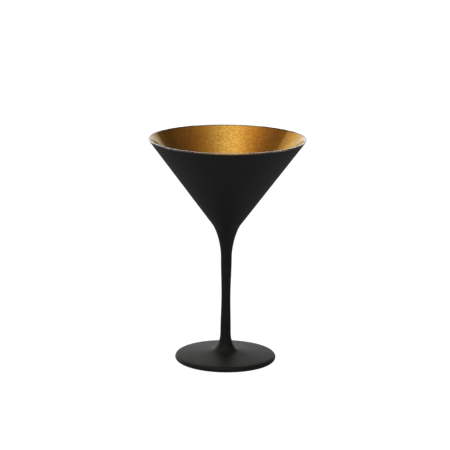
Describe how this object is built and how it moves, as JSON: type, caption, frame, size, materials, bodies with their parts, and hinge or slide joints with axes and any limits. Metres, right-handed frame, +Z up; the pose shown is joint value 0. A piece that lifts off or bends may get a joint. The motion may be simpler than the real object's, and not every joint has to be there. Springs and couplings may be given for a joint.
{
  "type": "martini glass",
  "caption": "Stemmed cocktail glass: a wide conical bowl, gold inside and matt black outside, on a slim waisted stem and a shallow round foot",
  "frame": {"origin": "on the glass's axis at the height of the table it stands on", "axes": "+Z is up along the axis that every piece is turned about; +X and +Y are any two horizontal directions"},
  "size_m": [0.1194, 0.1194, 0.172],
  "materials": {
    "clear_glass": "clear, fire-polished",
    "gold_lacquer": "metallic pearl gold, glossy behind the glass",
    "black_lacquer": "matt, very fine texture"
  },
  "bodies": {
    "root": {"glass_bowl": "clear_glass", "glass_stem": "clear_glass", "glass_foot": "clear_glass", "gold_lacquer": "gold_lacquer", "black_lacquer": "black_lacquer"}
  },
  "joints": []
}
